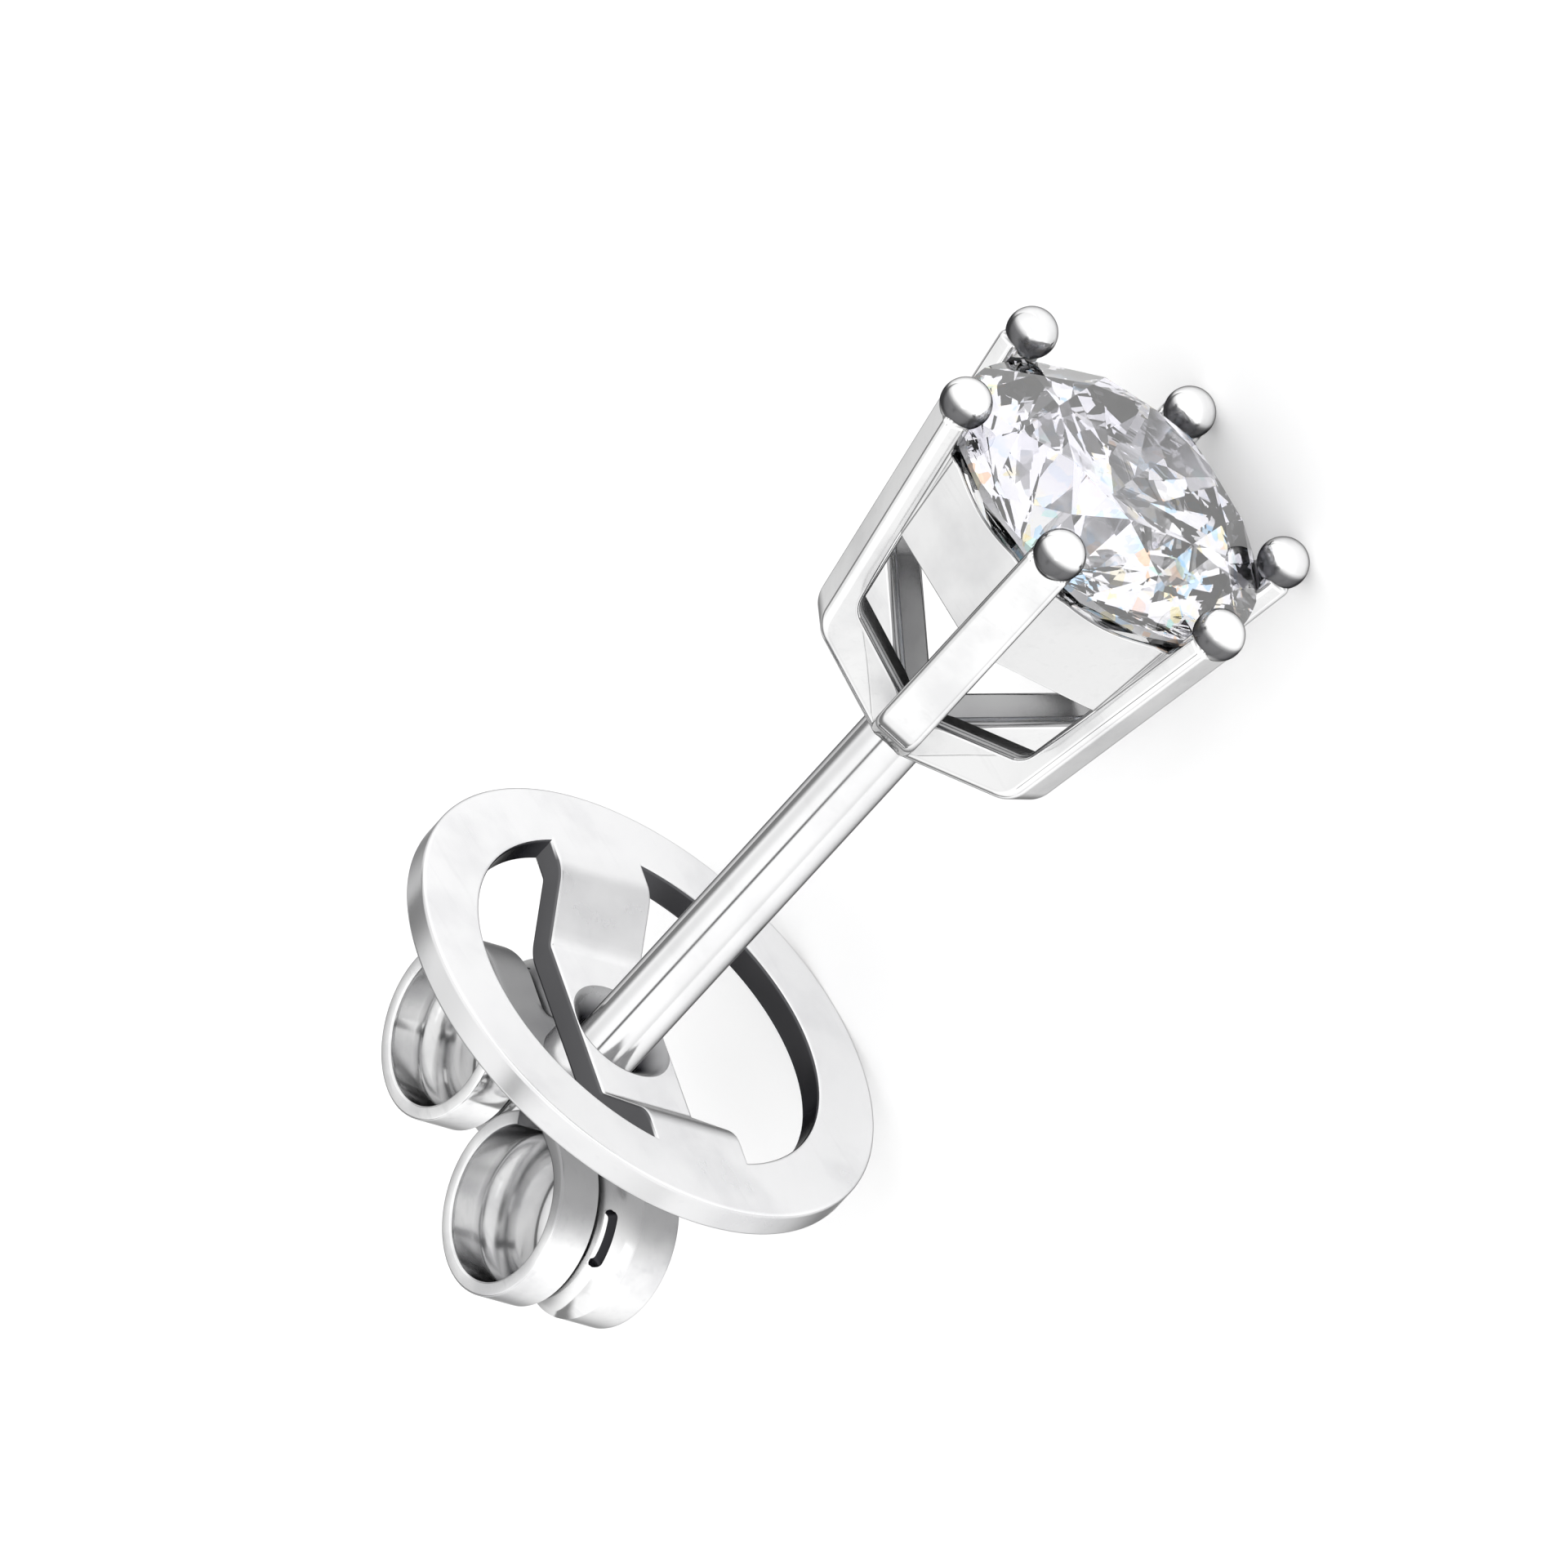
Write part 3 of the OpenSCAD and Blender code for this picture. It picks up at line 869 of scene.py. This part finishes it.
# Radius and depth of the dish under the bridge's face, from the bore out, and then above it
dish = (
    (bore_r, cup_depth),
    (0.57, 0.28),
    (0.62, 0.22),
    (0.67, 0.16),
    (cup_r - 0.06, 0.11),
    (cup_r - 0.02, cup_lip),
    (cup_r + 0.01, cup_lip * 0.55),
    (cup_r + 0.04, cup_lip * 0.2),
    (cup_r + 0.08, -1e-3),
    (cup_r + 0.08, -0.3),
)
bore = skin(
    "bore", [circle(bore_r, bore_end_z)] + [circle(r, -bridge_drop - depth) for r, depth in dish]
)
combine(disc, bridge, "UNION")
combine(disc, eyelet, "UNION")
combine(disc, bore, "DIFFERENCE")
into_place = Matrix.Translation((0, 0, disc_z)) @ Matrix.Rotation(bridge_turn, 4, "Z")
disc.data.transform(into_place)
disc_gold = white_gold(
    "ear back white gold",
    metal=(0.915, 0.915, 0.92, 1),
    cloud=(0.82, 0.82, 0.83, 1),
    bright=0.2,
    dull=0.28,
    hairline_depth=5e-7,
    wave=300,
    rim_tone=0.2,
)


def disc_painted_shade(point, normal):
    """Painted shade on the disc: dark on the opening's wall, the bridge's sides, the bore and the
    dish, a little on the rim's outer wall and on the bridge's slopes.
    """
    c = turn_back @ point
    n = turn_back @ normal
    r = math.hypot(c.x, c.y)
    inward = looks_in(c, n)
    if abs(r - rim_low) < 0.1 and inward > 0.6:
        return painted_opening_shade
    if abs(n.y) > 0.6 and abs(c.y) > half_w - 0.05 and r < rim_low:
        return painted_bridge_side_shade
    if r < bore_r + 0.02 and inward > 0.5:
        return painted_bore_shade
    if r < cup_r + 0.075 and inward > 0.1 and c.z > disc_z - sheet_t - bridge_drop:
        return painted_dish_shade + (painted_bore_shade - painted_dish_shade) * soft_step(r, cup_r, bore_r)
    if abs(r - disc_r) < 0.05 and inward < -0.6:
        return painted_rim_wall_shade
    if r < rim_low and abs(c.y) < half_w and n.z > 0.3:
        x = abs(c.x)
        return painted_slope_shade * soft_step(x, 1.4, 1.62) * soft_step(x, 2.6, 2.3)
    return 0.0


lay(disc, material=disc_gold, painted_shade=disc_painted_shade)
disc.visible_glossy = False
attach(disc, "clutch")
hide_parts("back_disc")

# Scroll strip: one springy strip of thinner sheet behind the bridge. Each end is rolled
# into a scroll that presses on the post, with a groove pressed along it for the post and a
# slot in the groove. The eyelet goes through its middle.
roll = math.radians(312)
scroll_reach = 1.7
strip_w = 2.2
groove_r = bore_r
groove_from = 0.95
groove_full = 1.2
slot_w = 0.24
slot_from = math.radians(18)
slot_to = math.radians(52)
slot_steps = 40
strip_edge = 0.045
across_steps = 26
flat_steps = 20
roll_steps = 96
# Painted shade on the strip, as shares of near-black metal
painted_slot_shade = 1.0
painted_shade_under_disc = 0.7
painted_roll_side_shade = 0.04
painted_roll_middle_shade = 0.4

# Near and far end of the tools that cut the slots and the hole, from the scroll's centre
slot_tool = (0.75, 1.6)
hole_tool = (1.0, 1.6)


def grooved(reach, radius, v, depth):
    """A point of one face of the strip, v off its middle, with a groove sunk in it by depth."""
    dip = 0.0
    if abs(v) < radius:
        dip = max(0.0, reach - scroll_reach + math.sqrt(radius ** 2 - v * v))
    return complex(reach - dip * depth, v)


def strip_outline(depth):
    """The strip's cross-section about the scroll's centre, with the groove sunk by depth."""
    wide = strip_w / 2
    across = [-wide + 2 * wide * i / across_steps for i in range(across_steps + 1)]
    outer = [grooved(scroll_r, groove_r, v, depth) for v in across]
    inner = [grooved(scroll_r - strip_t, groove_r + strip_t, v, depth) for v in across]
    edges = (0, across_steps, across_steps + 1, 2 * across_steps + 1)
    return eased(outer + inner[::-1], strip_edge, steps=3, only=edges)


def half_strip(name):
    """One half of the strip: its straight middle from the axis, and its scroll."""
    rings = []
    for s in range(flat_steps + 1):
        x = scroll_reach * s / flat_steps
        sunk = soft_step(x, groove_from, groove_full)
        rings.append([Vector((x, q.imag, q.real)) for q in strip_outline(sunk)])
    full = strip_outline(1.0)
    for s in range(1, roll_steps + 1):
        a = math.pi / 2 - roll * s / roll_steps
        rings.append([
            Vector((scroll_reach + q.real * math.cos(a), q.imag, q.real * math.sin(a)))
            for q in full
        ])
    return skin(name, rings)


def slot_cutter(name):
    """The slot's shape, long in the scroll's turn and with round ends."""
    low, high = slot_tool
    end_r = slot_w / 2
    extra = 0.999 * end_r / scroll_r
    rings = []
    for s in range(slot_steps + 1):
        a = slot_from - extra + (slot_to - slot_from + 2 * extra) * s / slot_steps
        past = max(slot_from - a, a - slot_to, 0.0) * scroll_r
        w = math.sqrt(max(end_r ** 2 - past ** 2, 1e-5))
        rings.append([
            Vector((scroll_reach + r * math.cos(a), y, r * math.sin(a)))
            for r, y in ((low, -w), (high, -w), (high, w), (low, w))
        ])
    return skin(name, rings)


scrolls = half_strip("scroll_strip")
combine(scrolls, slot_cutter("slot"), "DIFFERENCE")
other_half = shown("other_half", scrolls.data.copy())
other_half.data.transform(Matrix.Rotation(math.pi, 4, "Z"))
form = bmesh.new()
form.from_mesh(scrolls.data)
form.from_mesh(other_half.data)
bpy.data.objects.remove(other_half)
seam = [f for f in form.faces if all(abs(v.co.x) < 1e-6 for v in f.verts)]
bmesh.ops.delete(form, geom=seam, context="FACES_ONLY")
bmesh.ops.remove_doubles(form, verts=form.verts, dist=1e-5)
form.to_mesh(scrolls.data)
form.free()
combine(scrolls, skin("hole", [circle(eyelet_r, level) for level in hole_tool]), "DIFFERENCE")
scrolls.data.transform(
    Matrix.Translation((0, 0, disc_z - scroll_depth)) @ Matrix.Rotation(bridge_turn, 4, "Z")
)
strip_gold = white_gold(
    "spring white gold",
    metal=(0.9, 0.9, 0.9, 1),
    cloud=(0.68, 0.68, 0.69, 1),
    bright=0.1,
    dull=0.18,
    hairline_depth=8e-7,
    wave=0,
    rim_tone=0.3,
)


def strip_painted_shade(point, normal):
    """Painted shade on the strip: darkest on the slots' walls, dark on the outer faces nearer the
    disc, and inside the scrolls darker towards the strip's middle.
    """
    c = turn_back @ (point - Vector((0, 0, disc_z - scroll_depth)))
    n = turn_back @ normal
    side = math.copysign(1, c.x)
    out = Vector((c.x - side * scroll_reach, 0, c.z))
    inward = -n.dot(out.normalized())
    in_slot = slot_from - 0.12 < math.atan2(out.z, side * out.x) < slot_to + 0.12
    if in_slot and abs(c.y) < slot_w / 2 + 0.001 and abs(inward) < 0.3:
        return painted_slot_shade
    if out.length > scroll_r - 0.1 or inward < 0.3:
        return painted_shade_under_disc * soft_step(c.z, 0.45, 1.15)
    depth = min(1.0, max(0.0, 1.1 - abs(c.y) / (strip_w / 2)))
    return painted_roll_side_shade + (painted_roll_middle_shade - painted_roll_side_shade) * depth


lay(scrolls, sharp=35, material=strip_gold, painted_shade=strip_painted_shade)
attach(scrolls, "clutch")
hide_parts("back_scrolls")

# Floor: a plain white table. It gives off a little light of its own, which keeps it white
# round the stud's soft shadows.
floor_half = 2
floor_mesh = bpy.data.meshes.new("floor")
floor_mesh.from_pydata(
    [(x * floor_half, y * floor_half, 0) for x, y in ((-1, -1), (1, -1), (1, 1), (-1, 1))],
    [],
    [(0, 1, 2, 3)],
)
floor = shown("floor", floor_mesh)
white_table = bpy.data.materials.new("white table")
white_table.use_nodes = True
paint = white_table.node_tree.nodes["Principled BSDF"].inputs
paint["Base Color"].default_value = (0.9, 0.9, 0.9, 1)
paint["Roughness"].default_value = 0.7
paint["Emission Color"].default_value = (1, 1, 1, 1)
paint["Emission Strength"].default_value = 0.18
floor_mesh.materials.append(white_table)

# Room: white walls, brightest at the front and grey at the far side. Two pale grey cards give
# the gallery rail its tone, two dark cards show in the stone alone, and a narrow gap between
# two panels draws the line along the post.
front = (0.578, -0.432, 0.692)
stone_card_ways = (1.0, 0.1, 0.1), front
rail_card_ways = (-0.574, 0.433, 0.695), (-0.656, -0.755, 0.0)
rail_card_tone = 0.84
gap_way = (-0.021, -0.978, -0.207)
gap_end_way = (-0.416, -0.18, 0.891)
world = bpy.data.worlds.new("soft room")
world.use_nodes = True
bpy.context.scene.world = world
tree = world.node_tree
sky = tree.nodes["Background"]
direction = add(tree, "ShaderNodeTexCoord")


def toward(way):
    """How nearly the room is looked at along a direction, from -1 to 1."""
    return add(tree, "ShaderNodeVectorMath", {
        0: direction.outputs["Generated"], 1: Vector(way).normalized(),
    }, operation="DOT_PRODUCT").outputs["Value"]


def fade(value, start, end, low, high):
    """A soft change from low to high as a value goes from start to end."""
    return add(tree, "ShaderNodeMapRange", {
        "Value": value, "From Min": start, "From Max": end, "To Min": low, "To Max": high,
    }, interpolation_type="SMOOTHSTEP").outputs[0]


glow = fade(toward(front), -0.1, 0.6, 1.1, 1.25)
ray = add(tree, "ShaderNodeLightPath").outputs
through = ray["Is Transmission Ray"]
far_wall = fade(toward(front), -0.45, -0.2, 0.25, 1.0)
far_wall = reckon(tree, "MAXIMUM", far_wall, reckon(tree, "MULTIPLY", through, 0.7))
stone_cards = reckon(
    tree,
    "MAXIMUM",
    fade(toward(stone_card_ways[0]), 0.85, 0.95, 0.0, 0.9),
    fade(toward(stone_card_ways[1]), 0.96, 0.985, 0.0, 0.8),
)
rail_cards = [fade(toward(way), 0.94, 0.995, 1.0, rail_card_tone) for way in rail_card_ways]
off_gap = reckon(tree, "ABSOLUTE", toward(gap_way))
gap = reckon(
    tree,
    "MULTIPLY",
    fade(off_gap, 0.03, 0.09, 1.0, 0.0),
    fade(toward(gap_end_way), 0.98, 0.995, 0.0, 0.9),
)
for shade in (
    far_wall,
    *rail_cards,
    reckon(tree, "SUBTRACT", 1.0, reckon(tree, "MULTIPLY", through, stone_cards)),
    reckon(tree, "SUBTRACT", 1.0, gap),
):
    glow = reckon(tree, "MULTIPLY", glow, shade)
# Seen past the floor's edge, the room itself is plain white
tree.links.new(reckon(tree, "MAXIMUM", glow, ray["Is Camera Ray"]), sky.inputs["Strength"])
sky.inputs["Color"].default_value = (1, 1, 1, 1)

# Light: one small soft lamp high at the front. It adds a little light to the faces that look
# its way.
key_light = bpy.data.lights.new("key", "AREA")
key_light.size = 0.12
key_light.energy = 0.02
key = shown("key", key_light)
key.location = (0.10, -0.16, 0.26)
key.rotation_mode = "QUATERNION"
key.rotation_quaternion = (Vector((0, 0, 0.003)) - key.location).to_track_quat("-Z", "Y")

# Camera: a long lens that looks down on the stud from its head's side, turned so that the
# post runs up to the right.
look_right = Vector((0.5127, -0.4681, -0.7197)).normalized()
look_back = Vector((0.5780, -0.4317, 0.6924))
look_back = (look_back - look_back.dot(look_right) * look_right).normalized()
look_up = look_back.cross(look_right)
aim = Vector((-0.9026e-3, 1.5008e-3, 2.4311e-3))
view_width = 22.588e-3
lens = bpy.data.cameras.new("camera")
lens.lens = 600
lens.sensor_width = 36
lens.clip_start = 0.01
lens.clip_end = 20
camera = shown("camera", lens)
camera.matrix_world = Matrix.Translation(
    aim + look_back * view_width * lens.lens / lens.sensor_width
) @ Matrix((look_right, look_up, look_back)).transposed().to_4x4()
bpy.context.scene.camera = camera
bpy.context.scene.view_settings.view_transform = "Standard"
